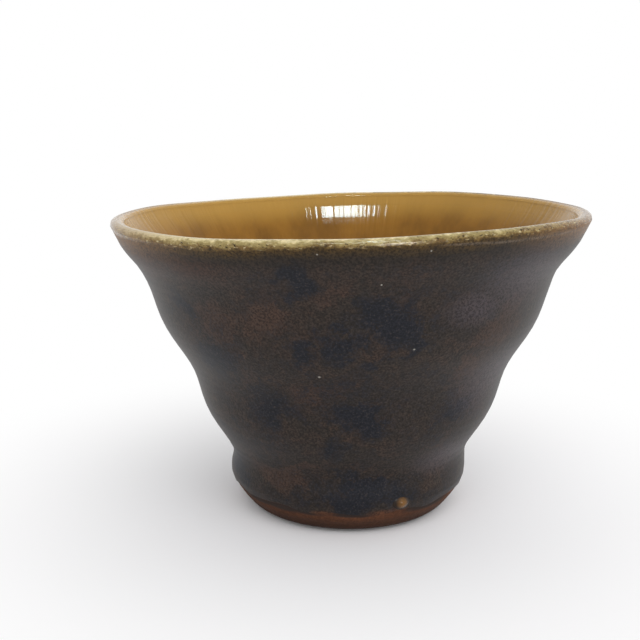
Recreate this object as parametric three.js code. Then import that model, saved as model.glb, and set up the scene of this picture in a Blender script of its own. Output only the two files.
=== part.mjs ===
// A small hand-thrown stoneware tea cup: one piece of turned clay under three fused coats of glaze.
// Millimetres, +Z up. The origin is the centre of the foot ring, on the table, and -Y is the front.
import * as THREE from "three";

// Driving dimensions of the bare clay
const cupHeight = 57.7;
const rimDiameter = 90.2;
const lipThickness = 1.7;
const lipCrown = 0.6; // height of the rounded lip above the straight wall
const lipLean = 0.95; // how much higher the lip stands on the right, and lower on the left
const wallThickness = 4.4; // at the waist, from where the wall thins evenly up to the lip
const flareBow = 0.3; // how far the flaring wall hollows in half way up
const waistDiameter = 46.2;
const waistHeight = 12.3;
const waistBlend = 0.7; // softness of the turn from the foot into the flare
const footDiameter = 46.4;
const footSwellHeight = 7.7; // where the trimmed foot is widest
const standDiameter = 33.4; // outer edge of the ring that touches the table
const recessDiameter = 25;
const recessDepth = 2.8;
const recessFillet = 1.2;
const floorThickness = 5;
const bowlRise = 9; // height over which the inside wall turns into the floor

// Throwing rings: finger grooves that spread apart as the wall was drawn up
const ringDepth = 1.1;
const ringPitch = 16.7; // from the waist to the first groove above it
const ringPitchGain = 1.5; // each ring is this much taller than the one below
const ringFade = 7; // the last stretch under the lip, where the rings die out
const innerRingLift = 1.8; // the finger inside pressed this much higher than the one outside
const innerRingFade = 5;

// Glaze coats
const glazeThickness = 0.5;
const glazeLineHeight = 5.3; // lower edge of the outer glaze, above the bare clay of the foot
const glazeLineWave = 0.52;
const lipBandDepth = 1.6; // reach of the lip band down the outside
const lipBandInnerDepth = 2; // reach of the lip band down the inside
const lipBandWave = 0.35;
const waveReach = 2.4; // how far from a wavy glaze edge its waves fade out
const footWaves = [
  { round: 3, share: 0.42, turn: 51 },
  { round: 12, share: 0.58, turn: 46 },
]; // waves round the cup, share of the height and turn in degrees
const lipWaves = [
  { round: 5, share: 0.5, turn: 110 },
  { round: 8, share: 0.5, turn: 17 },
];

// The bead of glaze that gathered just above the foot
const beadDiameter = 2.6;
const beadProud = 0.9;
const beadHeight = 7.1;
const beadAngle = -65; // degrees round from +X
const beadSeat = 0.05; // clearance between the bead and the glaze under it

const slopeSpan = 0.5; // height on either side of a point over which the inside wall's slope is taken

// Facets
const SEGMENTS = 48;
const FOOT_ROWS = 3;
const FOOT_GLAZE_ROWS = 3;
const WALL_ROWS = 15;
const LIP_WALL_ROWS = 2;
const LIP_ROWS = 6;
const INNER_ROWS = 10;
const BOWL_ROWS = 6;
const FILLET_ROWS = 3;
const BEAD_SEGMENTS = 14;
const BEAD_ROWS = 4;
const BEAD_SEAT_ROWS = 8;

const { lerp, smoothstep, degToRad } = THREE.MathUtils;
const lipBase = cupHeight - lipCrown;
const floorHeight = recessDepth + floorThickness;

// The larger of two radii, with the corner between them rounded over a given softness.
function roundedMax(a, b, softness) {
  const share = Math.max(softness - Math.abs(a - b), 0) / softness;
  return Math.max(a, b) + (softness / 4) * share ** 2;
}

// Outside radius of the trimmed foot: a rounded edge below, then a slight waist.
function footRadius(height) {
  const stand = standDiameter / 2;
  const swell = footDiameter / 2;
  if (height < footSwellHeight) {
    const below = 1 - height / footSwellHeight;
    return lerp(stand, swell, Math.sqrt(1 - below ** 2));
  }
  return lerp(swell, waistDiameter / 2, smoothstep(height, footSwellHeight, waistHeight));
}

// How many throwing rings lie between the waist and a height.
function ringCount(height) {
  const above = height - waistHeight;
  const slope = ringPitch - ringPitchGain / 2;
  return (2 * above) / (slope + Math.sqrt(slope ** 2 + 2 * ringPitchGain * above));
}

// Radius of the flaring wall: a bowed cone with a groove at every whole ring, lifted and faded as given.
function flareRadius(height, lift, fade) {
  const share = (height - waistHeight) / (lipBase - waistHeight);
  const cone = lerp(waistDiameter / 2 + ringDepth, rimDiameter / 2, share);
  const bow = 4 * flareBow * share * (1 - share);
  const calm = 1 - smoothstep(height, lipBase - fade, lipBase);
  const groove = (ringDepth / 2) * (1 + Math.cos(2 * Math.PI * ringCount(height - lift))) * calm;
  return cone - bow - groove;
}

function outerRadius(height) {
  if (height < footSwellHeight) return footRadius(height);
  return roundedMax(footRadius(height), flareRadius(height, 0, ringFade), waistBlend);
}

function innerRadius(height) {
  const share = (lipBase - height) / (lipBase - waistHeight);
  return flareRadius(height, innerRingLift, innerRingFade) - lerp(lipThickness, wallThickness, share);
}

// How much the inside wall's radius grows with each millimetre of height.
function innerSlope(height) {
  return (innerRadius(height + slopeSpan) - innerRadius(height - slopeSpan)) / (2 * slopeSpan);
}

// The irregular wave of a glaze edge at an angle, from -1 to 1.
function waveAt(waves, angle) {
  const heightOf = (wave) => wave.share * Math.cos(wave.round * angle + degToRad(wave.turn));
  return waves.reduce((sum, wave) => sum + heightOf(wave), 0);
}

// Height of a station on the outside at an angle: stations near a glaze edge follow its waves.
function wavyHeight(height, angle) {
  const near = (edge) => Math.max(0, 1 - Math.abs(height - edge) / waveReach);
  const atFoot = glazeLineWave * waveAt(footWaves, angle) * near(glazeLineHeight);
  const atLip = lipBandWave * waveAt(lipWaves, angle) * near(lipBase - lipBandDepth);
  return height + atFoot + atLip;
}

// Evenly spaced heights after the first, up to and including the last.
function heightsUpTo(from, to, rows) {
  return Array.from({ length: rows }, (_, i) => lerp(from, to, (i + 1) / rows));
}

// The clay's skin at an angle, from the table up the outside, over the lip and down to the floor's centre.
function skinAt(angle) {
  const lipLine = lipBase - lipBandDepth;
  const innerLine = lipBase - lipBandInnerDepth;
  const bowlTop = floorHeight + bowlRise;
  const outside = [
    0,
    ...heightsUpTo(0, glazeLineHeight, FOOT_ROWS),
    ...heightsUpTo(glazeLineHeight, waistHeight, FOOT_GLAZE_ROWS),
    ...heightsUpTo(waistHeight, lipLine, WALL_ROWS),
    ...heightsUpTo(lipLine, lipBase, LIP_WALL_ROWS),
  ].map((height) => {
    const at = wavyHeight(height, angle);
    return new THREE.Vector2(outerRadius(at), at);
  });
  const lipOuter = outerRadius(lipBase);
  const lipInner = innerRadius(lipBase);
  const lip = new THREE.EllipseCurve(
    (lipOuter + lipInner) / 2,
    lipBase,
    (lipOuter - lipInner) / 2,
    lipCrown,
    0,
    Math.PI,
  ).getPoints(LIP_ROWS);
  const inside = [
    innerLine,
    ...heightsUpTo(innerLine, bowlTop, INNER_ROWS),
  ].map((height) => new THREE.Vector2(innerRadius(height), height));
  const wallEnd = inside.at(-1);
  const wallLean = innerSlope(bowlTop) * bowlRise;
  const bowl = new THREE.QuadraticBezierCurve(
    wallEnd,
    new THREE.Vector2(wallEnd.x - wallLean, floorHeight),
    new THREE.Vector2(0, floorHeight),
  ).getPoints(BOWL_ROWS);
  return [...outside, ...lip.slice(1), ...inside, ...bowl.slice(1)];
}

// Places in the skin where one coat of glaze gives way to the next.
const glazeLineRow = FOOT_ROWS;
const lipLineRow = glazeLineRow + FOOT_GLAZE_ROWS + WALL_ROWS;
const innerLineRow = lipLineRow + LIP_WALL_ROWS + LIP_ROWS + 1;

// The skin moved outwards by the glaze's thickness, square to itself.
function glazedSkin(skin) {
  return skin.map((point, i) => {
    const before = skin[Math.max(i - 1, 0)];
    const after = skin[Math.min(i + 1, skin.length - 1)];
    const along = after.clone().sub(before).normalize();
    const onAxis = i === skin.length - 1;
    const outwards = onAxis ? new THREE.Vector2(0, 1) : new THREE.Vector2(along.y, -along.x);
    return point.clone().addScaledVector(outwards, glazeThickness);
  });
}

// The underside of the foot, from the middle of the turned recess out to the inner edge of the ring.
function undersideProfile() {
  const wall = recessDiameter / 2;
  const fillet = new THREE.EllipseCurve(
    wall - recessFillet,
    recessDepth - recessFillet,
    recessFillet,
    recessFillet,
    Math.PI / 2,
    0,
    true,
  ).getPoints(FILLET_ROWS);
  return [new THREE.Vector2(0, recessDepth), ...fillet, new THREE.Vector2(wall, 0)];
}

// Rise of a point where the uneven lip lifts the right side of the wall and drops the left.
function leanAt(x, height) {
  return lipLean * (x / (rimDiameter / 2)) * (height / cupHeight) ** 2;
}

// A turned solid whose profile may change round the axis. Two solids that share a stretch of profile
// meet face to face there, because each quad is split from its lower corner to the next upper one.
function turnedSolid(profileAt) {
  const profiles = Array.from({ length: SEGMENTS }, (_, i) => profileAt((2 * Math.PI * i) / SEGMENTS));
  const rows = profiles[0].length;
  const positions = profiles.flatMap((profile, i) => {
    const angle = (2 * Math.PI * i) / SEGMENTS;
    return profile.flatMap(({ x: radius, y: height }) => {
      const x = radius * Math.cos(angle);
      return [x, radius * Math.sin(angle), height + leanAt(x, height)];
    });
  });
  const triangles = [];
  profiles.forEach((profile, i) => {
    const next = (i + 1) % SEGMENTS;
    for (let j = 0; j + 1 < rows; j++) {
      const [a, b] = [i * rows + j, next * rows + j];
      const [c, d] = [b + 1, a + 1];
      const [from, to] = [profile[j], profile[j + 1]];
      const rising = from.y < to.y || (from.y === to.y && from.x < to.x);
      triangles.push(...(rising ? [a, b, c, a, c, d] : [a, b, d, b, c, d]));
    }
  });
  const geometry = new THREE.BufferGeometry();
  geometry.setAttribute("position", new THREE.Float32BufferAttribute(positions, 3));
  geometry.setIndex(triangles);
  geometry.computeVertexNormals();
  return geometry;
}

// A coat of glaze on the skin between two rows: down along the clay, then back up over the glaze.
function glazeCoat(firstRow, lastRow) {
  return turnedSolid((angle) => {
    const skin = skinAt(angle);
    const clay = skin.slice(firstRow, lastRow + 1).reverse();
    const surface = glazedSkin(skin).slice(firstRow, lastRow + 1);
    return [...clay, ...surface, clay[0]];
  });
}

const stoneware = new THREE.MeshStandardMaterial({ color: 0x6e4430, roughness: 0.85 });
const ironGlaze = new THREE.MeshStandardMaterial({ color: 0x3b3532, roughness: 0.45 });
const amberGlaze = new THREE.MeshStandardMaterial({ color: 0x99722f, roughness: 0.15 });
const oliveGlaze = new THREE.MeshStandardMaterial({ color: 0x9c9261, roughness: 0.25 });

const cup = new THREE.Group();

function addPiece(name, geometry, material) {
  const mesh = new THREE.Mesh(geometry, material);
  mesh.name = name;
  cup.add(mesh);
  return mesh;
}

addPiece(
  "stoneware_body",
  turnedSolid((angle) => [...undersideProfile(), ...skinAt(angle)]),
  stoneware,
);
const lastRow = skinAt(0).length - 1;
addPiece("outer_glaze", glazeCoat(glazeLineRow, lipLineRow), ironGlaze);
addPiece("lip_glaze_band", glazeCoat(lipLineRow, innerLineRow), oliveGlaze);
addPiece("inner_glaze", glazeCoat(innerLineRow, lastRow), amberGlaze);

// The bead that gathered above the foot is seated square on the facets of the outer glaze.
const beadReach = beadDiameter / 2;
const beadTurn = degToRad(beadAngle);
const glazeUnderBead = glazedSkin(skinAt(beadTurn));

// A flat-backed dome, turned about its own axis.
function glazeBead() {
  const dome = new THREE.EllipseCurve(0, 0, beadReach, beadProud, 0, Math.PI / 2).getPoints(BEAD_ROWS);
  return new THREE.LatheGeometry([new THREE.Vector2(0, 0), ...dome], BEAD_SEGMENTS);
}

// Radius of the glaze's facets at a height under the bead.
function radiusUnderBead(height) {
  const next = glazeUnderBead.findIndex((point) => point.y > height);
  const [below, above] = [glazeUnderBead[next - 1], glazeUnderBead[next]];
  return lerp(below.x, above.x, (height - below.y) / (above.y - below.y));
}

const [seatLow, seatHigh] = [beadHeight - beadReach, beadHeight + beadReach];
const seat = [seatLow, ...heightsUpTo(seatLow, seatHigh, BEAD_SEAT_ROWS)].map(
  (height) => new THREE.Vector2(radiusUnderBead(height), height),
);
const seatAlong = seat.at(-1).clone().sub(seat[0]).normalize();
const seatOutwards = new THREE.Vector2(seatAlong.y, -seatAlong.x);
const seatTop = Math.max(...seat.map((point) => point.dot(seatOutwards)));
const seatMiddle = seat[0].clone().lerp(seat.at(-1), 0.5);
const beadPlace = seatAlong
  .clone()
  .multiplyScalar(seatMiddle.dot(seatAlong))
  .addScaledVector(seatOutwards, seatTop + beadSeat);

const bead = addPiece("glaze_bead", glazeBead(), amberGlaze);
const beadX = beadPlace.x * Math.cos(beadTurn);
const beadNormal = new THREE.Vector3(
  seatOutwards.x * Math.cos(beadTurn),
  seatOutwards.x * Math.sin(beadTurn),
  seatOutwards.y,
);
bead.position.set(beadX, beadPlace.x * Math.sin(beadTurn), beadPlace.y + leanAt(beadX, beadPlace.y));
bead.quaternion.setFromUnitVectors(new THREE.Vector3(0, 1, 0), beadNormal);

export default cup;
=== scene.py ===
# A small hand-thrown stoneware tea cup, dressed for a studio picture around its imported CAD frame.
# The cup and the camera are measured in millimetres, and the studio in metres.
from math import cos, pi, radians, sin

import bpy
import numpy as np
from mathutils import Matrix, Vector


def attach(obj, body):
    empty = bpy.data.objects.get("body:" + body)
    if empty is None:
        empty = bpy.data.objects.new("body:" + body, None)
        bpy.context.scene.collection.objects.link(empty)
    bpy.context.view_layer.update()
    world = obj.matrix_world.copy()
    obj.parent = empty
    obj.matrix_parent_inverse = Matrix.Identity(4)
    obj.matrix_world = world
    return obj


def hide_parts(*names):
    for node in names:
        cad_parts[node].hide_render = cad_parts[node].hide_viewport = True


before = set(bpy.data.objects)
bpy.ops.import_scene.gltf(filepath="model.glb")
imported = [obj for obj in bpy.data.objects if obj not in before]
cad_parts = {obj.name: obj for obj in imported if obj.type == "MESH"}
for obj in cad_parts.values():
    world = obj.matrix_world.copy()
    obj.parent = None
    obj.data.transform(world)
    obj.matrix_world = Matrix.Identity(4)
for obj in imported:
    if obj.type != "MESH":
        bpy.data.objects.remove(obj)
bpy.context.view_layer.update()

MM = 0.001

# The clay, as the CAD has it
CUP_HEIGHT = 57.7
RIM_RADIUS = 45.1
LIP_THICKNESS = 1.7
LIP_CROWN = 0.6
LIP_LEAN = 0.95
WALL_THICKNESS = 4.4
FLARE_BOW = 0.3
WAIST_RADIUS = 23.1
WAIST_HEIGHT = 12.3
WAIST_BLEND = 0.7
SWELL_RADIUS = 23.2
SWELL_HEIGHT = 7.7
STAND_RADIUS = 16.7
RECESS_RADIUS = 12.5
RECESS_DEPTH = 2.8
RECESS_FILLET = 1.2
FLOOR_THICKNESS = 5
BOWL_RISE = 9
RING_DEPTH = 1.1
RING_PITCH = 16.7
RING_PITCH_GAIN = 1.5
RING_FADE = 7
INNER_RING_LIFT = 1.8
INNER_RING_FADE = 5
LIP_BASE = CUP_HEIGHT - LIP_CROWN
FLOOR_HEIGHT = RECESS_DEPTH + FLOOR_THICKNESS
BOWL_TOP = FLOOR_HEIGHT + BOWL_RISE

# The glaze, as the CAD has it: the edges of its three coats and the bead above the foot
GLAZE = 0.5
FOOT_LINE = 5.3
LIP_BAND_DEPTH = 1.6
LIP_INSIDE_DEPTH = 2
LIP_LINE = LIP_BASE - LIP_BAND_DEPTH
INNER_LINE = LIP_BASE - LIP_INSIDE_DEPTH
LIP_TOP = CUP_HEIGHT + GLAZE
BEAD_ANGLE = -65
BEAD_HEIGHT = 6.95
BEAD_SKIRT = 1.7
BEAD_PROUD = 0.65
BEAD_SINK = 0.14
BEAD_STRETCH = (0.82, 1.1, 1)

# The share of its thickness that the outer glaze has at its first stations above the foot
EDGE_THINNING = (0.5, 0.9)

# Unevenness of the hand, each wave as its number round the cup, its reach in mm and its turn in degrees
FOOT_LINE_WAVES = [(3, 0.22, 51), (12, 0.26, 46), (19, 0.1, 80)]
LIP_LINE_WAVES = [(5, 0.17, 110), (8, 0.17, 17)]
OUT_OF_ROUND_WAVES = [(2, 0.08, 0), (5, 0.03, 90), (9, 0.02, 90)]
LIP_TOP_WAVES = [(3, 0.25, 180), (7, 0.05, 10), (11, 0.04, 60)]
WAVE_REACH = 2.4
OUT_OF_ROUND_FULL = WAIST_HEIGHT * 2

# Where a finger pressed the wet wall out or in: degrees round, height, half its height, how far out
FINGER_MARKS = [
    (0, 52.5, 2.2, 0.2),
    (0, 48, 2.2, -0.35),
    (0, 25, 5, 0.25),
    (180, 52.5, 2.2, 0.3),
    (180, 10.3, 2.2, -0.55),
    (-60, 33, 4, -0.2),
]
FINGER_TAPER = 3

# The finger's spiral on the inside floor
SPIRAL_START = 2
SPIRAL_REACH = 17
SPIRAL_PITCH = 5.5
SPIRAL_DEPTH = 0.22

# Fineness of the turned meshes: steps round the wheel, and stations on each stretch of the skin
WHEEL_STEPS = 96
BEAD_STEPS = 24
BEAD_ROWS = 8
BEAD_TIP = 0.1
FOOT_ROWS = 6
EDGE_HEIGHT = 2
EDGE_ROWS = 2
SWELL_ROWS = 5
WALL_ROWS = 24
CROWN_ROWS = 8
INNER_WALL_ROWS = 18
BOWL_ROWS = 12
FILLET_ROWS = 3
SLOPE_REACH = 0.5
MERGE_DISTANCE = 0.001
SMOOTHING = 2
POLE_RADIUS = 0.6
HIDDEN_STEP = 2
SMOOTH_ANGLE = 50


def smoothstep(value, start, end):
    share = np.clip((value - start) / (end - start), 0, 1)
    return share * share * (3 - 2 * share)


def foot_radius(height):
    """Outside of the trimmed foot: a rounded edge below, then a slight waist."""
    below = np.clip(1 - height / SWELL_HEIGHT, 0, 1)
    rounded = STAND_RADIUS + (SWELL_RADIUS - STAND_RADIUS) * np.sqrt(1 - below**2)
    return rounded + (WAIST_RADIUS - SWELL_RADIUS) * smoothstep(height, SWELL_HEIGHT, WAIST_HEIGHT)


def flare_radius(height, lift=0, fade=RING_FADE):
    """Radius of the flaring wall: a bowed cone with a groove at every ring, lifted and faded as given."""
    above = height - WAIST_HEIGHT
    share = above / (LIP_BASE - WAIST_HEIGHT)
    cone = WAIST_RADIUS + RING_DEPTH + (RIM_RADIUS - WAIST_RADIUS - RING_DEPTH) * share
    bow = 4 * FLARE_BOW * share * (1 - share)
    first = RING_PITCH - RING_PITCH_GAIN / 2
    lifted = above - lift
    rings = 2 * lifted / (first + np.sqrt(np.maximum(first**2 + 2 * RING_PITCH_GAIN * lifted, 1)))
    calm = 1 - smoothstep(height, LIP_BASE - fade, LIP_BASE)
    return cone - bow - RING_DEPTH / 2 * (1 + np.cos(2 * pi * rings)) * calm


def outer_radius(height):
    """Outside of the clay: the foot and the flaring wall, blended at the waist."""
    foot = foot_radius(height)
    flare = flare_radius(height)
    share = np.maximum(WAIST_BLEND - np.abs(foot - flare), 0) / WAIST_BLEND
    both = np.maximum(foot, flare) + WAIST_BLEND / 4 * share**2
    return np.where(height < SWELL_HEIGHT, foot, both)


def wall_thickness(height):
    share = (LIP_BASE - height) / (LIP_BASE - WAIST_HEIGHT)
    return LIP_THICKNESS + (WALL_THICKNESS - LIP_THICKNESS) * share


def inner_radius(height):
    return flare_radius(height, INNER_RING_LIFT, INNER_RING_FADE) - wall_thickness(height)


def arc(centre, radii, start, end, rows):
    """Stations on part of an ellipse, after its first point."""
    turns = np.radians(np.linspace(start, end, rows + 1)[1:])
    return np.c_[centre[0] + radii[0] * np.cos(turns), centre[1] + radii[1] * np.sin(turns)]


def wall(radius_at, start, end, rows):
    """Evenly spaced stations on a wall, after its first height."""
    heights = np.linspace(start, end, rows + 1)[1:]
    return np.c_[radius_at(heights), heights]


def bowl(rows):
    """Stations of the round inside floor, from the wall to just short of the middle."""
    start = np.array([inner_radius(BOWL_TOP), BOWL_TOP])
    widening = inner_radius(BOWL_TOP + SLOPE_REACH) - inner_radius(BOWL_TOP - SLOPE_REACH)
    slope = widening / (2 * SLOPE_REACH)
    bend = np.array([start[0] - slope * BOWL_RISE, FLOOR_HEIGHT])
    middle = np.array([POLE_RADIUS, FLOOR_HEIGHT])
    share = np.linspace(0, 1, rows + 1)[1:, None]
    return (1 - share) ** 2 * start + 2 * share * (1 - share) * bend + share**2 * middle


# The clay's skin as stations of radius and height: up the outside, over the lip and down to the floor
# The foot's arc gives up its last two stations to the even ones below the glaze's edge
FOOT_ARC_RADII = (SWELL_RADIUS - STAND_RADIUS, SWELL_HEIGHT)
FOOT_SKIN = np.r_[
    [[STAND_RADIUS, 0]],
    arc((STAND_RADIUS, SWELL_HEIGHT), FOOT_ARC_RADII, -90, -40, FOOT_ROWS)[:-2],
    wall(outer_radius, FOOT_LINE - EDGE_HEIGHT, FOOT_LINE, EDGE_ROWS),
]
WALL_SKIN = np.r_[
    FOOT_SKIN[-1:],
    wall(outer_radius, FOOT_LINE, WAIST_HEIGHT, SWELL_ROWS),
    wall(outer_radius, WAIST_HEIGHT, LIP_LINE, WALL_ROWS),
]
LIP_MIDDLE = RIM_RADIUS - LIP_THICKNESS / 2
LIP_SKIN = np.r_[
    WALL_SKIN[-1:],
    wall(outer_radius, LIP_LINE, LIP_BASE, EDGE_ROWS),
    arc((LIP_MIDDLE, LIP_BASE), (LIP_THICKNESS / 2, LIP_CROWN), 0, 180, CROWN_ROWS),
    wall(inner_radius, LIP_BASE, INNER_LINE, EDGE_ROWS),
]
BOWL_SKIN = np.r_[
    LIP_SKIN[-1:],
    wall(inner_radius, INNER_LINE, BOWL_TOP, INNER_WALL_ROWS),
    bowl(BOWL_ROWS),
]
FILLET_MIDDLE = (RECESS_RADIUS - RECESS_FILLET, RECESS_DEPTH - RECESS_FILLET)
UNDERSIDE = np.r_[
    [[POLE_RADIUS, RECESS_DEPTH], [RECESS_RADIUS / 2, RECESS_DEPTH]],
    [[RECESS_RADIUS - RECESS_FILLET, RECESS_DEPTH]],
    arc(FILLET_MIDDLE, (RECESS_FILLET, RECESS_FILLET), 90, 0, FILLET_ROWS),
    [[RECESS_RADIUS, 0]],
    [[(RECESS_RADIUS + STAND_RADIUS) / 2, 0]],
]


def glazed(skin, thickness):
    """The skin moved outwards by the glaze's thickness, square to itself."""
    along = np.gradient(skin, axis=0)
    along /= np.linalg.norm(along, axis=1)[:, None]
    return skin + np.c_[along[:, 1], -along[:, 0]] * thickness[:, None]


# The whole skin with its glaze, which runs thin at the foot, and where the lip's and the bowl's glaze start
CLAY_SKIN = np.r_[WALL_SKIN, LIP_SKIN[1:], BOWL_SKIN[1:]]
GLAZE_DEPTHS = np.full(len(CLAY_SKIN), GLAZE)
GLAZE_DEPTHS[: len(EDGE_THINNING)] *= EDGE_THINNING
GLAZED_SKIN = glazed(CLAY_SKIN, GLAZE_DEPTHS)
LIP_START = len(WALL_SKIN) - 1
BOWL_START = LIP_START + len(LIP_SKIN) - 1


def turn_on_wheel(name, stations, sharp=(), steps=WHEEL_STEPS):
    """A ring is drawn through the stations, one lift and one widening at a time, as on a wheel."""
    bpy.ops.object.select_all(action="DESELECT")
    radius, height = stations[0]
    bpy.ops.mesh.primitive_circle_add(vertices=steps, radius=radius * MM, location=(0, 0, height * MM))
    bpy.ops.object.transform_apply(location=True)
    piece = bpy.context.active_object
    piece.name = name
    piece.data.name = name
    bpy.ops.object.mode_set(mode="EDIT")
    bpy.ops.mesh.select_all(action="SELECT")
    for station, (next_radius, next_height) in enumerate(stations):
        if station:
            lift = (0, 0, (next_height - height) * MM)
            widen = next_radius / radius
            bpy.ops.mesh.extrude_edges_move(TRANSFORM_OT_translate={"value": lift})
            bpy.ops.transform.resize(value=(widen, widen, 1), center_override=(0, 0, next_height * MM))
        if station in sharp:
            bpy.ops.transform.edge_crease(value=1)
        radius, height = next_radius, next_height
    bpy.ops.mesh.select_all(action="SELECT")
    bpy.ops.mesh.remove_doubles(threshold=MERGE_DISTANCE * MM)
    bpy.ops.mesh.fill_holes(sides=0)
    bpy.ops.mesh.select_all(action="SELECT")
    bpy.ops.mesh.normals_make_consistent(inside=False)
    bpy.ops.object.mode_set(mode="OBJECT")
    return piece


def smooth(piece):
    """Rounds the turned facets into a poured surface, and keeps its sharp edges sharp."""
    rounding = piece.modifiers.new("rounding", "SUBSURF")
    rounding.levels = SMOOTHING
    rounding.render_levels = SMOOTHING
    bpy.ops.object.modifier_apply(modifier=rounding.name)
    bpy.ops.object.shade_smooth_by_angle(angle=radians(SMOOTH_ANGLE))


def waves(angle, kinds):
    """Height of all waves of a list at an angle, in mm."""
    return sum(reach * np.cos(rounds * angle + radians(turn)) for rounds, reach, turn in kinds)


def near(height, edge):
    """How much of an edge's waves a height takes part in, from 0 to 1."""
    return np.maximum(0, 1 - np.abs(height - edge) / WAVE_REACH)


def finger_marks(angle, height):
    """How far out the wall stands at a place because of single finger marks, in mm."""
    out = 0
    for turn, middle, half, reach in FINGER_MARKS:
        round_share = np.maximum(np.cos(angle - radians(turn)), 0) ** FINGER_TAPER
        out = out + reach * round_share * np.exp(-(((height - middle) / half) ** 2))
    return out


def throw_by_hand(piece):
    """Carries a turned mesh to where an uneven hand left it, and notes each point's place on the wheel."""
    vertices = piece.data.vertices
    places = np.empty(len(vertices) * 3)
    vertices.foreach_get("co", places)
    x, y, height = places.reshape(-1, 3).T / MM
    radius = np.hypot(x, y)
    angle = np.arctan2(y, x)
    wall_height = np.minimum(height, LIP_BASE)
    wall_middle = outer_radius(wall_height) - wall_thickness(wall_height) / 2
    side = np.clip((radius - wall_middle) / (LIP_THICKNESS / 2 + GLAZE), -1, 1)
    for label, values in (("thrown_height", height), ("side", side)):
        note = piece.data.attributes.new(label, "FLOAT", "POINT")
        note.data.foreach_set("value", values.astype(np.float32))

    outside = side > 0
    shift = waves(angle, FOOT_LINE_WAVES) * near(height, FOOT_LINE)
    shift = shift + waves(angle, LIP_LINE_WAVES) * near(height, LIP_LINE)
    moved = height + np.where(outside, shift, 0)
    radius = radius + np.where(outside, outer_radius(moved) - outer_radius(height), 0)

    rise = moved / CUP_HEIGHT
    grown = smoothstep(moved, FOOT_LINE, OUT_OF_ROUND_FULL)
    most = sum(reach for _, reach, _ in OUT_OF_ROUND_WAVES)
    radius = radius * (1 + grown * (waves(angle + rise, OUT_OF_ROUND_WAVES) - most) / RIM_RADIUS)
    radius = radius + finger_marks(angle, moved) * smoothstep(side, -1, 1)

    wall_calm = 1 - smoothstep(radius, SPIRAL_START, SPIRAL_REACH)
    swirl = np.cos(angle - 2 * pi * radius / SPIRAL_PITCH) * wall_calm
    inside = (side < 0) & (height > FLOOR_HEIGHT - GLAZE)
    middle_calm = smoothstep(radius, POLE_RADIUS, SPIRAL_PITCH / 2)
    lean = LIP_LEAN * radius * np.cos(angle) / RIM_RADIUS + waves(angle, LIP_TOP_WAVES)
    moved = moved + lean * rise**2 - np.where(inside, SPIRAL_DEPTH * (swirl + 1) / 2 * middle_calm, 0)
    places = np.c_[radius * np.cos(angle), radius * np.sin(angle), moved] * MM
    vertices.foreach_set("co", places.ravel())
    piece.data.update()


def finish_piece(piece, node, material):
    """Gives a piece its material, hangs it on the body it rides on, and hides the CAD node that it stands
    for.
    """
    piece.data.materials.clear()
    piece.data.materials.append(material)
    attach(piece, "root")
    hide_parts(node)


def on_outside(angle, height):
    """A place on the glazed outside, in metres."""
    lean = LIP_LEAN * cos(radians(angle)) * (height / CUP_HEIGHT) ** 2
    radius = float(outer_radius(height - lean)) + GLAZE
    return Vector((radius * cos(radians(angle)), radius * sin(radians(angle)), height)) * MM


# Tools for the materials

# Sockets of the Mix node that mix colours
MIX_FROM = 6
MIX_TO = 7
MIX_RESULT = 2

# Settings that several nodes share
COLOUR_MIX = {"data_type": "RGBA"}
SHADE_MIX = {"data_type": "RGBA", "blend_type": "MULTIPLY"}
SOFT = {"interpolation_type": "SMOOTHSTEP"}
MINUS = {"operation": "SUBTRACT"}
TIMES = {"operation": "MULTIPLY"}
TIMES_PLUS = {"operation": "MULTIPLY_ADD"}
LARGER = {"operation": "MAXIMUM"}
PLACED = {"vector_type": "TEXTURE"}
ROUND = {"gradient_type": "SPHERICAL"}
WHEEL_HEIGHT = {"attribute_name": "thrown_height"}
WHEEL_SIDE = {"attribute_name": "side"}


def linear(code):
    """A colour written as sRGB hex, as the linear red, green, blue and alpha that nodes take."""
    shares = [int(code[i : i + 2], 16) / 255 for i in (1, 3, 5)]
    return [s / 12.92 if s <= 0.04045 else ((s + 0.055) / 1.055) ** 2.4 for s in shares] + [1]


def per(size):
    """Texture scale whose features are about this many millimetres across."""
    return 1 / (size * MM)


def add(tree, kind, settings, inputs, out=0, stops=()):
    """Adds a node with settings and colour stops, fills or links its inputs, and gives one output."""
    node = tree.nodes.new(kind)
    for name, value in settings.items():
        setattr(node, name, value)
    for name, value in inputs.items():
        if isinstance(value, bpy.types.NodeSocket):
            tree.links.new(value, node.inputs[name])
        else:
            node.inputs[name].default_value = value
    for index, (place, code) in enumerate(stops):
        elements = node.color_ramp.elements
        element = elements[index] if index < len(elements) else elements.new(place)
        element.position = place
        element.color = linear(code)
    return node.outputs[out]


def new_material(name):
    """A material with its node tree, its shader and its Object coordinates."""
    material = bpy.data.materials.new(name)
    material.use_nodes = True
    tree = material.node_tree
    surface = tree.nodes["Principled BSDF"]
    places = add(tree, "ShaderNodeTexCoord", {}, {}, out="Object")
    return material, tree, surface, places


def patches(tree, places, spots):
    """How far a point lies inside any of a list of soft oval spots on the outside, from 0 to 1."""
    deepest = 0
    for angle, height, half_width, half_height in spots:
        local = add(tree, "ShaderNodeMapping", PLACED, {
            "Vector": places,
            "Location": on_outside(angle, height),
            "Rotation": (0, 0, radians(angle)),
            "Scale": (half_width * MM, half_width * MM, half_height * MM),
        })
        depth = add(tree, "ShaderNodeTexGradient", ROUND, {"Vector": local}, out="Fac")
        deepest = add(tree, "ShaderNodeMath", LARGER, {0: depth, 1: deepest})
    return deepest


def cover(tree, surface, colour, relief, depth=1):
    """Gives the shader its colour, and a relief whose unit is so many mm deep."""
    bump = add(tree, "ShaderNodeBump", {}, {"Height": relief, "Distance": depth * MM})
    tree.links.new(colour, surface.inputs["Base Color"])
    tree.links.new(bump, surface.inputs["Normal"])


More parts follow.
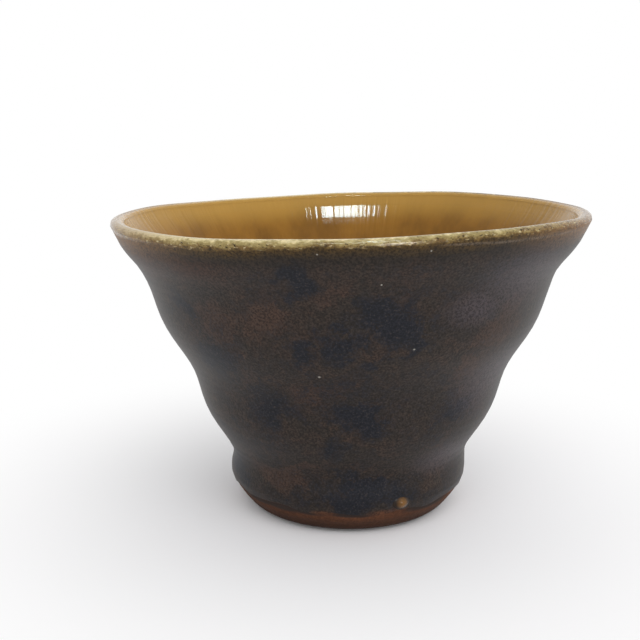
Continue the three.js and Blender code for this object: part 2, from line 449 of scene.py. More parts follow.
# Patches of the outer glaze: degrees round, height, half width and half height of each
# Where it pooled blue-black
POOLS = [
    (-139, 45, 5, 3),
    (-132, 35.2, 8, 5),
    (-101, 50.8, 5, 3.5),
    (-79, 43.5, 7, 6),
    (-73, 39.5, 4, 6),
    (-91, 40.2, 8, 2.6),
    (-103, 37.6, 4, 3.6),
    (-83, 35.9, 4, 2.4),
    (-113, 25, 7, 4.5),
    (-82, 25.7, 9, 4.5),
    (-51, 25.6, 8, 4),
    (-95, 18, 5, 4),
    (-78, 11.5, 8, 3.5),
    (-85, 8, 14, 3.5),
    (168, 44, 8, 5),
    (140, 30, 8, 4.5),
    (112, 47, 7, 4),
    (92, 36, 8, 5),
    (70, 23, 8, 4),
    (52, 45, 8, 5),
    (24, 33, 8, 4.5),
    (5, 47, 7, 4),
    (-12, 24, 7, 4),
    (118, 16, 8, 3.5),
    (178, 22, 7, 4),
    (35, 11, 9, 3.5),
    (-160, 10, 8, 3.5),
]
# Where it broke rusty
RUST_PATCHES = [
    (-48, 40.5, 10, 5.5),
    (-52, 34, 6, 4),
    (-127, 41.5, 6, 5),
    (-112, 44, 6, 4),
    (-93, 48, 5, 3),
    (-98, 31, 8, 3),
    (-120, 12, 8, 4),
    (150, 40, 9, 4.5),
    (122, 38, 8, 4),
    (75, 44, 9, 4.5),
    (100, 26, 8, 4),
    (38, 37, 8, 5),
    (48, 20, 8, 3.5),
    (8, 38, 8, 4),
    (160, 13, 8, 3.5),
    (80, 10, 8, 3),
]
# Where it went milky: a pale haze in the glaze, which is also a painted cool sheen where the right of the
# wall catches light
MILKY_SHEEN_PATCHES = [
    (-43, 50, 16, 9),
    (-38, 30, 12, 10),
    (-44, 14.6, 11, 5),
    (-57, 45.5, 9, 5),
]
# Where it is a warmer brown, under the left of the lip
WARM_PATCHES = [
    (-146, 53, 14, 7),
    (-127, 53, 12, 5),
]
# A painted highlight: a pale line where a fine ridge under the right of the lip catches the light
RIDGE_HIGHLIGHTS = [
    (-66, 57.1, 7.5, 0.35),
    (-57, 57, 7.5, 0.35),
    (-48, 57.1, 7.5, 0.35),
    (-38, 57.2, 7.5, 0.35),
]
# Where it ran thin above the foot
THIN_PATCHES = [
    (-65, 5.6, 2.2, 1.6),
    (-74, 5, 3.5, 1.1),
    (-101, 5, 3, 0.9),
]
# Where it stained the bare clay
STAINED_PATCHES = [
    (-138, 5.2, 9, 1.8),
    (-122, 5.2, 9, 1.8),
    (-108, 5.2, 8, 1.6),
    (-86, 5, 9, 1.2),
    (-48, 5.2, 10, 2.2),
]
# Its pinholes
PINHOLES = [
    (-98, 33.8, 0.34, 0.28),
    (-73, 39, 0.28, 0.24),
    (-83, 50.7, 0.2, 0.18),
    (-74, 56.2, 0.2, 0.24),
    (-96, 55.8, 0.2, 0.18),
]

# Colours of the outer glaze, among them a painted sheen and a painted highlight
PLAIN_COLOUR = "#2c2520"
RUST_COLOUR = "#402f26"
POOL_COLOUR = "#181a22"
MILKY_SHEEN_COLOUR = "#50474c"
WARM_COLOUR = "#3c2010"
CRYSTAL_COLOUR = "#4b3e33"
THIN_COLOUR = "#5f381f"
RIDGE_HIGHLIGHT_COLOUR = "#7a6c5e"
PINHOLE_COLOUR = "#d8d3c8"

# Its noise, by size. Real crystals are finer than this pepper, which is drawn coarser so that it shows
STRAY = {"Scale": per(8), "Detail": 5, "Roughness": 0.7}
CLOUDS = {"Scale": per(13), "Detail": 3}
STREAKS = {"Scale": per(7), "Detail": 4, "Roughness": 0.6}
MOTTLING = {"Scale": per(2.5), "Detail": 3, "Roughness": 0.7}
PEPPER = {"Scale": per(0.4), "Detail": 2, "Roughness": 0.7}
PEEL = {"Scale": per(1), "Detail": 4, "Roughness": 0.65}
NOISE_MIDDLE = 0.5
FLATTENED = (1, 1, 1.7)

# How far noise carries the edges of its patches, and how strongly each noise breaks up pools and rust
GLAZE_WANDER = 18
POOL_MOTTLING = 1.4
POOL_CLOUDS = 1.3
POOL_PEPPER = 1.8
RUST_MOTTLING = -1
RUST_STREAKS = 1.4

# From where to where each patch sets in, and how much of its colour it then has
POOL_EDGE = {"From Min": 0.6, "From Max": 1.25}
RUST_EDGE = {"From Min": 0.5, "From Max": 1.4}
SPOT_HEART = 0.9
MILKY_SHEEN_EDGE = {"From Max": SPOT_HEART, "To Max": 0.5}
WARM_EDGE = {"From Max": SPOT_HEART, "To Max": 0.8}
RIDGE_HIGHLIGHT_EDGE = {"From Max": SPOT_HEART, "To Max": 0.4}
PINHOLE_EDGE = {"From Max": SPOT_HEART, "To Max": 0.75}
CRYSTAL_EDGE = {"From Min": 0.06, "From Max": 0.25, "To Max": 0.5}

# How the pepper shades it, and how much of that is left on the lip
PEPPER_SHADES = {"From Min": -0.12, "From Max": 0.06, "To Min": 0.4, "To Max": 1.15}
PEPPER_ON_LIP = 0.25

# How it thins to its edge at the foot: over which height, and how unevenly
EDGE_FADE = 0.8
EDGE_WANDER = 1.6
FOOT_EDGE = {
    "From Min": FOOT_LINE - EDGE_WANDER / 2 - EDGE_FADE,
    "From Max": FOOT_LINE - EDGE_WANDER / 2,
    "To Min": 1,
    "To Max": 0,
}

# Its finish: roughness of the satin wall and of the lip, shine, and depth of its peel and the lip's pits
SATIN_ROUGHNESS = 0.42
LIP_ROUGHNESS = 0.11
IRON_SHINE = 0.2
PEEL_DEPTH = 0.03
PIT_DEPTH = 0.07

# Glaze over the lip: how far it broke and faded down the wall, and how much less far on the right
LIP_BAND = 1.6
LIP_FADE = 5.8
LIP_TILT = 0.5
# From which share of the radius it turns amber towards the sides, how much, and which amber
LIP_SIDES = 0.55
LIP_AMBER = 0.85
LIP_AMBER_COLOUR = "#8a6236"
# Its upright squash, and its colours by share of the fade
LIP_GRAIN = (1, 1, 2.2)
LIP_STOPS = [
    (0.0, "#dccc9c"),
    (0.03, "#bfae7c"),
    (0.07, "#a08f5d"),
    (0.14, "#8f7d4e"),
    (0.19, "#745f36"),
    (0.23, "#56421d"),
    (0.28, "#443213"),
    (0.4, "#3b2d18"),
    (0.56, "#241d14"),
]
# Its ragged edges by size and reach
LIP_RAGGED = [
    (3.2, 1.5),
    (0.8, 1.0),
]
# Its specks by size, rarity, softness and colour
LIP_SPECKS = [
    (1.8, 0.5, 0.16, "#6b4f2a"),
    (0.9, 0.58, 0.12, "#c8b98c"),
    (0.5, 0.6, 0.06, "#21160d"),
]
RAGGED_DETAIL = 3
SPECK_DETAIL = 2
# Where on the wall's side the inside's glaze turns to the outside's
LIP_CROSSING = {"From Min": -0.6, "From Max": -0.05}

# The inside's amber glaze: its colours in dark and light runs, below the lip and in the bowl
RUN_DARK = "#7a541e"
RUN_LIGHT = "#966a26"
GOLDEN_COLOUR = "#bd9446"
DEEP_COLOUR = "#553714"
RUNS = {"Scale": per(9), "Detail": 4, "Roughness": 0.6}
RUNS_DRAWN_DOWN = (1, 1, 0.4)
RUN_EDGE = {"From Min": 0.3, "From Max": 0.7}
GOLDEN_EDGE = {"From Min": LIP_TOP - 7, "From Max": LIP_TOP - 1, "To Max": 0.8}
DEEP_EDGE = {"From Min": FLOOR_HEIGHT, "From Max": BOWL_TOP + 6, "To Min": 0.8, "To Max": 0}
AMBER_ROUGHNESS = 0.08
AMBER_SHINE = 0.14
RIPPLE_SIZE = 1.3
RIPPLE_DEPTH = 0.145
RIPPLE_DETAIL = 2

# The bare clay: colours, grit and scorch by size, painted contact shadow that darkens it towards the bottom,
# and the trimming tool's lines
CLAY_DARK = "#472a1b"
CLAY_LIGHT = "#6e442b"
STAIN_COLOUR = "#2a2320"
GRIT = {"Scale": per(0.5), "Detail": 3, "Roughness": 0.7}
SCORCH = {"Scale": per(7), "Detail": 3}
GRIT_SHADES = {"From Min": 0.3, "From Max": 0.7, "To Min": 0.6, "To Max": 1.3}
PAINTED_FOOT_SHADOW = {"From Min": 1.2, "From Max": FOOT_LINE + 1.2, "To Min": 0.38, "To Max": 1.2}
STAIN_EDGE = {"From Min": 0.2, "From Max": 0.6, "To Max": 0.9}
TOOL_RINGS = {"wave_type": "RINGS", "rings_direction": "Z"}
TOOL_SPACING = 1.4
WAVE_NODE_RATE = 20
TOOL_LINES = {
    "Scale": per(TOOL_SPACING) * 2 * pi / WAVE_NODE_RATE,
    "Distortion": 1.5,
    "Detail": 2,
    "Detail Scale": 2,
}
CLAY_RELIEF = 0.06
CLAY_ROUGHNESS = 0.8
CLAY_SHINE = 0.2

# The amber drop: its colours at the skirt and in the middle, and its finish
DROP_SKIRT_COLOUR = "#221810"
DROP_COLOUR = "#80592a"
DROP_EDGE = {"From Min": 0.2, "From Max": 0.8}
DROP_ROUGHNESS = 0.2
DROP_SHINE = 0.25


def lip_colours(tree, places, height, wall_colour):
    """Glaze broken thin over the lip: cream on its crown, then olive and brown, and amber at the sides."""
    drop = add(tree, "ShaderNodeMath", MINUS, {0: LIP_TOP, 1: height})
    rightwards = add(tree, "ShaderNodeSeparateXYZ", {}, {"Vector": places}, out="X")
    drop = add(tree, "ShaderNodeMath", TIMES_PLUS, {
        0: rightwards, 1: LIP_TILT / (RIM_RADIUS * MM), 2: drop,
    })
    grain = add(tree, "ShaderNodeMapping", {}, {"Vector": places, "Scale": LIP_GRAIN})
    for size, reach in LIP_RAGGED:
        ragged = add(tree, "ShaderNodeTexNoise", {}, {
            "Vector": grain, "Scale": per(size), "Detail": RAGGED_DETAIL,
        })
        ragged = add(tree, "ShaderNodeMath", MINUS, {0: ragged, 1: NOISE_MIDDLE})
        drop = add(tree, "ShaderNodeMath", TIMES_PLUS, {0: ragged, 1: reach, 2: drop})
    along = add(tree, "ShaderNodeMath", {"operation": "DIVIDE"}, {0: drop, 1: LIP_FADE})
    band = add(tree, "ShaderNodeValToRGB", {}, {"Fac": along}, stops=LIP_STOPS)
    sideways = add(tree, "ShaderNodeMath", {"operation": "ABSOLUTE"}, {0: rightwards})
    amber = add(tree, "ShaderNodeMapRange", {}, {
        "Value": sideways,
        "From Min": LIP_SIDES * RIM_RADIUS * MM,
        "From Max": RIM_RADIUS * MM,
        "To Max": LIP_AMBER,
    })
    band = add(tree, "ShaderNodeMix", COLOUR_MIX, {
        0: amber, MIX_FROM: band, MIX_TO: linear(LIP_AMBER_COLOUR),
    }, out=MIX_RESULT)
    reach = add(tree, "ShaderNodeMapRange", SOFT, {
        "Value": drop, "From Min": LIP_BAND, "From Max": LIP_FADE, "To Min": 1, "To Max": 0,
    })
    colour = add(tree, "ShaderNodeMix", COLOUR_MIX, {
        0: reach, MIX_FROM: wall_colour, MIX_TO: band,
    }, out=MIX_RESULT)
    on_band = add(tree, "ShaderNodeMapRange", {}, {
        "Value": drop, "From Min": LIP_BAND / 2, "From Max": LIP_BAND, "To Min": 1, "To Max": 0,
    })
    below_crown = add(tree, "ShaderNodeMapRange", {}, {
        "Value": drop, "From Min": LIP_BAND / 6, "From Max": LIP_BAND / 2,
    })
    speckled = add(tree, "ShaderNodeMath", TIMES, {0: on_band, 1: below_crown})
    for size, start, softness, code in LIP_SPECKS:
        dots = add(tree, "ShaderNodeTexNoise", {}, {
            "Vector": grain, "Scale": per(size), "Detail": SPECK_DETAIL,
        })
        dots = add(tree, "ShaderNodeMapRange", {}, {
            "Value": dots, "From Min": start, "From Max": start + softness,
        })
        dots = add(tree, "ShaderNodeMath", TIMES, {0: dots, 1: speckled})
        colour = add(tree, "ShaderNodeMix", COLOUR_MIX, {
            0: dots, MIX_FROM: colour, MIX_TO: linear(code),
        }, out=MIX_RESULT)
    return colour, on_band


def iron_colours(tree, places):
    """Colour of the outside at a point, and how much the point belongs to the lip band."""
    height = add(tree, "ShaderNodeAttribute", WHEEL_HEIGHT, {}, out="Fac")
    stray = add(tree, "ShaderNodeTexNoise", {}, {"Vector": places, **STRAY}, out="Color")
    stray = add(tree, "ShaderNodeVectorMath", MINUS, {0: stray, 1: [NOISE_MIDDLE] * 3})
    wander = add(tree, "ShaderNodeVectorMath", TIMES_PLUS, {
        0: stray, 1: [GLAZE_WANDER * MM] * 3, 2: places,
    })
    flat = add(tree, "ShaderNodeMapping", {}, {"Vector": wander, "Scale": FLATTENED})
    clouds = add(tree, "ShaderNodeTexNoise", {}, {"Vector": flat, **CLOUDS})
    streaks = add(tree, "ShaderNodeTexNoise", {}, {"Vector": flat, **STREAKS})
    mottling = add(tree, "ShaderNodeTexNoise", {}, {"Vector": flat, **MOTTLING})
    mottling = add(tree, "ShaderNodeMath", MINUS, {0: mottling, 1: NOISE_MIDDLE})
    pepper = add(tree, "ShaderNodeTexNoise", {}, {"Vector": places, **PEPPER})
    pepper = add(tree, "ShaderNodeMath", MINUS, {0: pepper, 1: NOISE_MIDDLE})

    pooled = patches(tree, wander, POOLS)
    for noise, strength in ((mottling, POOL_MOTTLING), (clouds, POOL_CLOUDS), (pepper, POOL_PEPPER)):
        pooled = add(tree, "ShaderNodeMath", TIMES_PLUS, {0: noise, 1: strength, 2: pooled})
    pooled = add(tree, "ShaderNodeMapRange", SOFT, {"Value": pooled, **POOL_EDGE})
    rusty = patches(tree, wander, RUST_PATCHES)
    for noise, strength in ((mottling, RUST_MOTTLING), (streaks, RUST_STREAKS)):
        rusty = add(tree, "ShaderNodeMath", TIMES_PLUS, {0: noise, 1: strength, 2: rusty})
    rusty = add(tree, "ShaderNodeMapRange", SOFT, {"Value": rusty, **RUST_EDGE})
    # Milky haze, partly a painted sheen of light on the right of the wall
    milky_sheen = patches(tree, places, MILKY_SHEEN_PATCHES)
    milky_sheen = add(tree, "ShaderNodeMapRange", SOFT, {"Value": milky_sheen, **MILKY_SHEEN_EDGE})
    warm = patches(tree, places, WARM_PATCHES)
    warm = add(tree, "ShaderNodeMapRange", SOFT, {"Value": warm, **WARM_EDGE})
    crystals = add(tree, "ShaderNodeMapRange", {}, {"Value": pepper, **CRYSTAL_EDGE})
    edge = add(tree, "ShaderNodeMath", TIMES_PLUS, {0: clouds, 1: -EDGE_WANDER, 2: height})
    edge = add(tree, "ShaderNodeMapRange", SOFT, {"Value": edge, **FOOT_EDGE})
    thin = patches(tree, places, THIN_PATCHES)
    thin = add(tree, "ShaderNodeMath", LARGER, {0: edge, 1: thin})

    colour = linear(PLAIN_COLOUR)
    layers = [
        (rusty, RUST_COLOUR),
        (pooled, POOL_COLOUR),
        (milky_sheen, MILKY_SHEEN_COLOUR),
        (warm, WARM_COLOUR),
        (crystals, CRYSTAL_COLOUR),
        (thin, THIN_COLOUR),
    ]
    for share, code in layers:
        colour = add(tree, "ShaderNodeMix", COLOUR_MIX, {
            0: share, MIX_FROM: colour, MIX_TO: linear(code),
        }, out=MIX_RESULT)

    colour, on_band = lip_colours(tree, places, height, colour)
    # Painted highlight along the fine ridge under the right of the lip
    ridge_highlight = patches(tree, places, RIDGE_HIGHLIGHTS)
    ridge_highlight = add(tree, "ShaderNodeMapRange", SOFT, {"Value": ridge_highlight, **RIDGE_HIGHLIGHT_EDGE})
    colour = add(tree, "ShaderNodeMix", COLOUR_MIX, {
        0: ridge_highlight, MIX_FROM: colour, MIX_TO: linear(RIDGE_HIGHLIGHT_COLOUR),
    }, out=MIX_RESULT)
    shades = add(tree, "ShaderNodeMapRange", {}, {"Value": pepper, **PEPPER_SHADES})
    peppered = add(tree, "ShaderNodeMapRange", {}, {"Value": on_band, "To Min": 1, "To Max": PEPPER_ON_LIP})
    colour = add(tree, "ShaderNodeMix", SHADE_MIX, {
        0: peppered, MIX_FROM: colour, MIX_TO: shades,
    }, out=MIX_RESULT)
    pinholes = patches(tree, places, PINHOLES)
    pinholes = add(tree, "ShaderNodeMapRange", {}, {"Value": pinholes, **PINHOLE_EDGE})
    colour = add(tree, "ShaderNodeMix", COLOUR_MIX, {
        0: pinholes, MIX_FROM: colour, MIX_TO: linear(PINHOLE_COLOUR),
    }, out=MIX_RESULT)
    return colour, on_band


def amber_colours(tree, places):
    """Colour of the inside at a point: golden near the lip, in honey runs below, brown where it pooled."""
    height = add(tree, "ShaderNodeAttribute", WHEEL_HEIGHT, {}, out="Fac")
    runs = add(tree, "ShaderNodeMapping", {}, {"Vector": places, "Scale": RUNS_DRAWN_DOWN})
    runs = add(tree, "ShaderNodeTexNoise", {}, {"Vector": runs, **RUNS})
    runs = add(tree, "ShaderNodeMapRange", SOFT, {"Value": runs, **RUN_EDGE})
    golden = add(tree, "ShaderNodeMapRange", SOFT, {"Value": height, **GOLDEN_EDGE})
    deep = add(tree, "ShaderNodeMapRange", SOFT, {"Value": height, **DEEP_EDGE})
    colour = linear(RUN_DARK)
    for share, code in ((runs, RUN_LIGHT), (golden, GOLDEN_COLOUR), (deep, DEEP_COLOUR)):
        colour = add(tree, "ShaderNodeMix", COLOUR_MIX, {
            0: share, MIX_FROM: colour, MIX_TO: linear(code),
        }, out=MIX_RESULT)
    return colour


def iron_relief(tree, places, on_band):
    """Orange peel of the satin glaze, with pits where it broke over the lip, in mm."""
    peel = add(tree, "ShaderNodeTexNoise", {}, {"Vector": places, **PEEL})
    depth = add(tree, "ShaderNodeMapRange", {}, {
        "Value": on_band, "To Min": PEEL_DEPTH, "To Max": PIT_DEPTH,
    })
    return add(tree, "ShaderNodeMath", TIMES, {0: peel, 1: depth})


def amber_relief(tree, places):
    """The ripple of a poured, glossy glaze, in streaks that run straight down the wall, in mm."""
    height = add(tree, "ShaderNodeAttribute", WHEEL_HEIGHT, {}, out="Fac")
    around = add(tree, "ShaderNodeVectorMath", TIMES, {0: places, 1: (1, 1, 0)})
    around = add(tree, "ShaderNodeVectorMath", {"operation": "NORMALIZE"}, {0: around})
    ripple = add(tree, "ShaderNodeTexNoise", {}, {
        "Vector": around, "Scale": RIM_RADIUS / RIPPLE_SIZE, "Detail": RIPPLE_DETAIL,
    })
    depth = add(tree, "ShaderNodeMapRange", {}, {
        "Value": height, "From Min": BOWL_TOP, "From Max": LIP_LINE, "To Max": RIPPLE_DEPTH,
    })
    return add(tree, "ShaderNodeMath", TIMES, {0: ripple, 1: depth})


def iron_roughness(tree, on_band):
    """Satin on the wall, glossier where the glaze broke over the lip."""
    return add(tree, "ShaderNodeMapRange", {}, {
        "Value": on_band, "To Min": SATIN_ROUGHNESS, "To Max": LIP_ROUGHNESS,
    })


def iron_glaze():
    """Satin iron glaze, dipped and fired: brown where thin, blue-black where it pooled, and peppered."""
    material, tree, surface, places = new_material("satin_iron_glaze")
    colour, on_band = iron_colours(tree, places)
    cover(tree, surface, colour, iron_relief(tree, places, on_band))
    tree.links.new(iron_roughness(tree, on_band), surface.inputs["Roughness"])
    surface.inputs["Specular IOR Level"].default_value = IRON_SHINE
    return material


def amber_glaze():
    """Clear amber glaze, poured and fired glossy: a wet shine over honey-brown runs."""
    material, tree, surface, places = new_material("clear_amber_glaze")
    cover(tree, surface, amber_colours(tree, places), amber_relief(tree, places))
    surface.inputs["Roughness"].default_value = AMBER_ROUGHNESS
    surface.inputs["Specular IOR Level"].default_value = AMBER_SHINE
    return material


def lip_glaze():
    """The two glazes meeting over the lip, thin and glossy: past its crown one turns into the other."""
    material, tree, surface, places = new_material("broken_lip_glaze")
    side = add(tree, "ShaderNodeAttribute", WHEEL_SIDE, {}, out="Fac")
    over = add(tree, "ShaderNodeMapRange", SOFT, {"Value": side, **LIP_CROSSING})
    outside, on_band = iron_colours(tree, places)
    colour = add(tree, "ShaderNodeMix", COLOUR_MIX, {
        0: over, MIX_FROM: amber_colours(tree, places), MIX_TO: outside,
    }, out=MIX_RESULT)
    roughness = add(tree, "ShaderNodeMapRange", {}, {
        "Value": over, "To Min": AMBER_ROUGHNESS, "To Max": iron_roughness(tree, on_band),
    })
    relief = add(tree, "ShaderNodeMapRange", {}, {
        "Value": over, "To Min": amber_relief(tree, places), "To Max": iron_relief(tree, places, on_band),
    })
    cover(tree, surface, colour, relief)
    tree.links.new(roughness, surface.inputs["Roughness"])
    surface.inputs["Specular IOR Level"].default_value = IRON_SHINE
    return material


def bare_clay():
    """Bare stoneware, trimmed and fired: rust-brown and matt, with grit and the trimming tool's lines."""
    material, tree, surface, places = new_material("bare_stoneware")
    height = add(tree, "ShaderNodeAttribute", WHEEL_HEIGHT, {}, out="Fac")
    grit = add(tree, "ShaderNodeTexNoise", {}, {"Vector": places, **GRIT})
    scorch = add(tree, "ShaderNodeTexNoise", {}, {"Vector": places, **SCORCH})
    colour = add(tree, "ShaderNodeMix", COLOUR_MIX, {
        0: scorch, MIX_FROM: linear(CLAY_DARK), MIX_TO: linear(CLAY_LIGHT),
    }, out=MIX_RESULT)
    flecks = add(tree, "ShaderNodeMapRange", {}, {"Value": grit, **GRIT_SHADES})
    # Painted contact shadow: the clay darkens towards the bottom of the foot, times the grit's flecks
    shades = add(tree, "ShaderNodeMapRange", SOFT, {"Value": height, **PAINTED_FOOT_SHADOW})
    shades = add(tree, "ShaderNodeMath", TIMES, {0: flecks, 1: shades})
    colour = add(tree, "ShaderNodeMix", SHADE_MIX, {0: 1, MIX_FROM: colour, MIX_TO: shades}, out=MIX_RESULT)
    stained = patches(tree, places, STAINED_PATCHES)
    stained = add(tree, "ShaderNodeMapRange", SOFT, {"Value": stained, **STAIN_EDGE})
    clean = patches(tree, places, THIN_PATCHES)
    clean = add(tree, "ShaderNodeMath", MINUS, {0: 1, 1: clean})
    stained = add(tree, "ShaderNodeMath", TIMES, {0: stained, 1: clean})
    colour = add(tree, "ShaderNodeMix", COLOUR_MIX, {
        0: stained, MIX_FROM: colour, MIX_TO: linear(STAIN_COLOUR),
    }, out=MIX_RESULT)
    tooling = add(tree, "ShaderNodeTexWave", TOOL_RINGS, {"Vector": places, **TOOL_LINES}, out="Fac")
    relief = add(tree, "ShaderNodeMath", {"operation": "ADD"}, {0: grit, 1: tooling})
    cover(tree, surface, colour, relief, CLAY_RELIEF)
    surface.inputs["Roughness"].default_value = CLAY_ROUGHNESS
    surface.inputs["Specular IOR Level"].default_value = CLAY_SHINE
    return material


def bead_glaze():
    """A drop of the amber glaze that ran and set: honey in its middle, dark where its skirt thins out."""
    material, tree, surface, places = new_material("set_amber_drop")
    local = add(tree, "ShaderNodeMapping", PLACED, {
        "Vector": places,
        "Location": on_outside(BEAD_ANGLE, BEAD_HEIGHT),
        "Scale": [BEAD_SKIRT * MM] * 3,
    })
    depth = add(tree, "ShaderNodeTexGradient", ROUND, {"Vector": local}, out="Fac")
    honey = add(tree, "ShaderNodeMapRange", SOFT, {"Value": depth, **DROP_EDGE})
    colour = add(tree, "ShaderNodeMix", COLOUR_MIX, {
        0: honey, MIX_FROM: linear(DROP_SKIRT_COLOUR), MIX_TO: linear(DROP_COLOUR),
    }, out=MIX_RESULT)
    tree.links.new(colour, surface.inputs["Base Color"])
    surface.inputs["Roughness"].default_value = DROP_ROUGHNESS
    surface.inputs["Specular IOR Level"].default_value = DROP_SHINE
    return material


# The clay body, with fewer stations where the glaze hides it
body_profile = np.r_[
    UNDERSIDE,
    FOOT_SKIN,
    WALL_SKIN[1::HIDDEN_STEP],
    LIP_SKIN,
    BOWL_SKIN[1:-1:HIDDEN_STEP],
    BOWL_SKIN[-1:],
]
clay = turn_on_wheel("clay_body", body_profile)
smooth(clay)
throw_by_hand(clay)
finish_piece(clay, "stoneware_body", bare_clay())

# The coats of glaze: each is turned back along the clay with fewer stations, then forth over its own surface
COATS = [
    ("outer_coat", 0, LIP_START, "outer_glaze", "iron_glaze", iron_glaze()),
    ("lip_coat", LIP_START, BOWL_START, "lip_glaze_band", "olive_glaze", lip_glaze()),
    ("inner_coat", BOWL_START, len(GLAZED_SKIN) - 1, "inner_glaze", "amber_glaze", amber_glaze()),
]
for name, first, last, node, slot, material in COATS:
    back = np.r_[[first], np.arange(first + HIDDEN_STEP, last - 1, HIDDEN_STEP), [last]][::-1]
    surface = GLAZED_SKIN[first : last + 1]
    profile = np.r_[CLAY_SKIN[back], surface]
    sharp = {0, len(back) - 1, len(profile) - 1}
    if first:
        sharp.add(len(back))
    if name != "inner_coat":
        profile = np.r_[profile, CLAY_SKIN[[last]]]
    coat = turn_on_wheel(name, profile, sharp)
    smooth(coat)
    throw_by_hand(coat)
    finish_piece(coat, node, material)

# The bead of glaze, turned as a low bell with its rim sunk, drawn wide and then set square on the foot
bead_shares = np.linspace(1, BEAD_TIP, BEAD_ROWS)
bead_rise = (BEAD_PROUD + BEAD_SINK) * (1 - bead_shares**2) ** 2 - BEAD_SINK
bead_profile = np.r_[[[BEAD_SKIRT, -BEAD_SINK * 2]], np.c_[BEAD_SKIRT * bead_shares, bead_rise]]
bead = turn_on_wheel("amber_bead", bead_profile, steps=BEAD_STEPS)
smooth(bead)
bead.rotation_euler = (0, radians(90), radians(BEAD_ANGLE))
bead.location = on_outside(BEAD_ANGLE, BEAD_HEIGHT)
bead.scale = BEAD_STRETCH
bpy.ops.object.transform_apply()
finish_piece(bead, "glaze_bead", bead_glaze())

# Studio: a sheet of paper that runs out into a white room, brightest low down and behind the cup
scene = bpy.context.scene
scene.view_settings.view_transform = "Standard"
WHITE = "#ffffff"
FLOOR_SIZE = 6
PAPER_COLOUR = "#f8f7f9"
PAPER_ROUGHNESS = 0.9
PAPER_FADE = (0.005, 0.105)
ROOM_TILT = (0.24, 0.25, -0.6)
ROOM_DIM = (-0.68, 0.35)
ROOM_BRIGHT = (-0.15, 1.1)
LAMP_AIM = (0, 0, 0.04)
WINDOW_PLACE = (0.1, -0.65, 0.75)
WINDOW_SIZE = (0.9, 0.5)
WINDOW_POWER = 4.3
SKYLIGHT_PLACE = (0.0, -0.27, 0.95)
SKYLIGHT_SIZE = (0.26, 0.145)
SKYLIGHT_POWER = 9.2
SKYLIGHT_TINT = "#e1f9ff"
PANE_PLACE = (0.28, -0.71, 0.22)
PANE_SIZE = (0.16, 0.05)
PANE_POWER = 2.2


def seen_ray(tree):
    """Whether the camera sees this place, by itself or in a gloss."""
    seen = 0
    for ray in ("Is Camera Ray", "Is Glossy Ray", "Is Transmission Ray"):
        light_path = add(tree, "ShaderNodeLightPath", {}, {}, out=ray)
        seen = add(tree, "ShaderNodeMath", LARGER, {0: light_path, 1: seen})
    return seen


def paper():
    """Matt white paper. Away from the cup the camera sees it fade into the white of the room."""
    material, tree, surface, places = new_material("matt_paper")
    surface.inputs["Base Color"].default_value = linear(PAPER_COLOUR)
    surface.inputs["Roughness"].default_value = PAPER_ROUGHNESS
    surface.inputs["Specular IOR Level"].default_value = 0
    distance = add(tree, "ShaderNodeVectorMath", {"operation": "LENGTH"}, {0: places}, out="Value")
    far = add(tree, "ShaderNodeMapRange", SOFT, {
        "Value": distance, "From Min": PAPER_FADE[0], "From Max": PAPER_FADE[1],
    })
    share = add(tree, "ShaderNodeMath", TIMES, {0: far, 1: seen_ray(tree)})
    white = add(tree, "ShaderNodeEmission", {}, {"Color": linear(WHITE), "Strength": 1})
    both = add(tree, "ShaderNodeMixShader", {}, {0: share, 1: surface.outputs["BSDF"], 2: white})
    tree.links.new(both, tree.nodes["Material Output"].inputs["Surface"])
    return material


bpy.ops.object.select_all(action="DESELECT")
bpy.ops.mesh.primitive_plane_add(size=FLOOR_SIZE)
floor = bpy.context.active_object
floor.name = "floor"
floor.data.materials.append(paper())

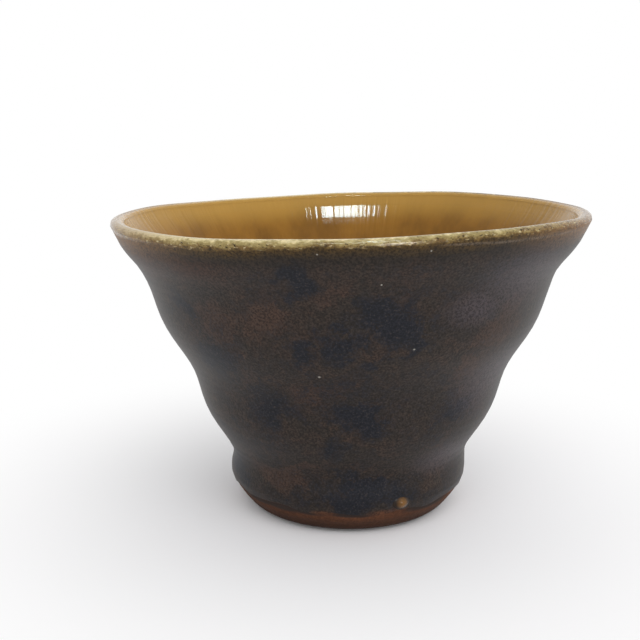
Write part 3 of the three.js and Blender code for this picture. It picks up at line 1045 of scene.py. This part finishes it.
world = bpy.data.worlds.new("white_room")
scene.world = world
world.use_nodes = True
sky = world.node_tree
direction = add(sky, "ShaderNodeTexCoord", {}, {}, out="Generated")
backwards = add(sky, "ShaderNodeVectorMath", {"operation": "DOT_PRODUCT"}, {
    0: direction, 1: ROOM_TILT,
}, out="Value")
strength = add(sky, "ShaderNodeMapRange", SOFT, {
    "Value": backwards,
    "From Min": ROOM_DIM[0],
    "To Min": ROOM_DIM[1],
    "From Max": ROOM_BRIGHT[0],
    "To Max": ROOM_BRIGHT[1],
})
strength = add(sky, "ShaderNodeMapRange", {}, {"Value": seen_ray(sky), "To Min": strength, "To Max": 1})
sky.nodes["Background"].inputs["Color"].default_value = linear(WHITE)
sky.links.new(strength, sky.nodes["Background"].inputs["Strength"])


def hang_lamp(name, place, size, power, tint=WHITE):
    """A lamp as a soft panel, turned towards the cup."""
    lamp = bpy.data.objects.new(name, bpy.data.lights.new(name, "AREA"))
    scene.collection.objects.link(lamp)
    lamp.location = place
    lamp.rotation_euler = (Vector(LAMP_AIM) - Vector(place)).to_track_quat("-Z", "Y").to_euler()
    lamp.data.shape = "RECTANGLE"
    lamp.data.size, lamp.data.size_y = size
    lamp.data.energy = power
    lamp.data.color = linear(tint)[:3]
    return lamp


# The window gives the soft light, and the skylight and the low pane give the glints on the glaze
hang_lamp("window", WINDOW_PLACE, WINDOW_SIZE, WINDOW_POWER).visible_glossy = False
hang_lamp("skylight", SKYLIGHT_PLACE, SKYLIGHT_SIZE, SKYLIGHT_POWER, SKYLIGHT_TINT).visible_diffuse = False
hang_lamp("side_pane", PANE_PLACE, PANE_SIZE, PANE_POWER).visible_diffuse = False

# Camera, fitted to the photograph's outline
CAMERA_BACK = 186.5
CAMERA_HEIGHT = 75.9
CAMERA_DIP = 11.95
CAMERA_PAN = 1.72
CAMERA_LENS = 54
CAMERA_SENSOR = 36
CAMERA_NEAR = 10
camera = bpy.data.objects.new("camera", bpy.data.cameras.new("camera"))
scene.collection.objects.link(camera)
camera.location = (0, -CAMERA_BACK * MM, CAMERA_HEIGHT * MM)
camera.rotation_euler = (radians(90 - CAMERA_DIP), 0, radians(CAMERA_PAN))
camera.data.lens = CAMERA_LENS
camera.data.sensor_width = CAMERA_SENSOR
camera.data.clip_start = CAMERA_NEAR * MM
scene.camera = camera
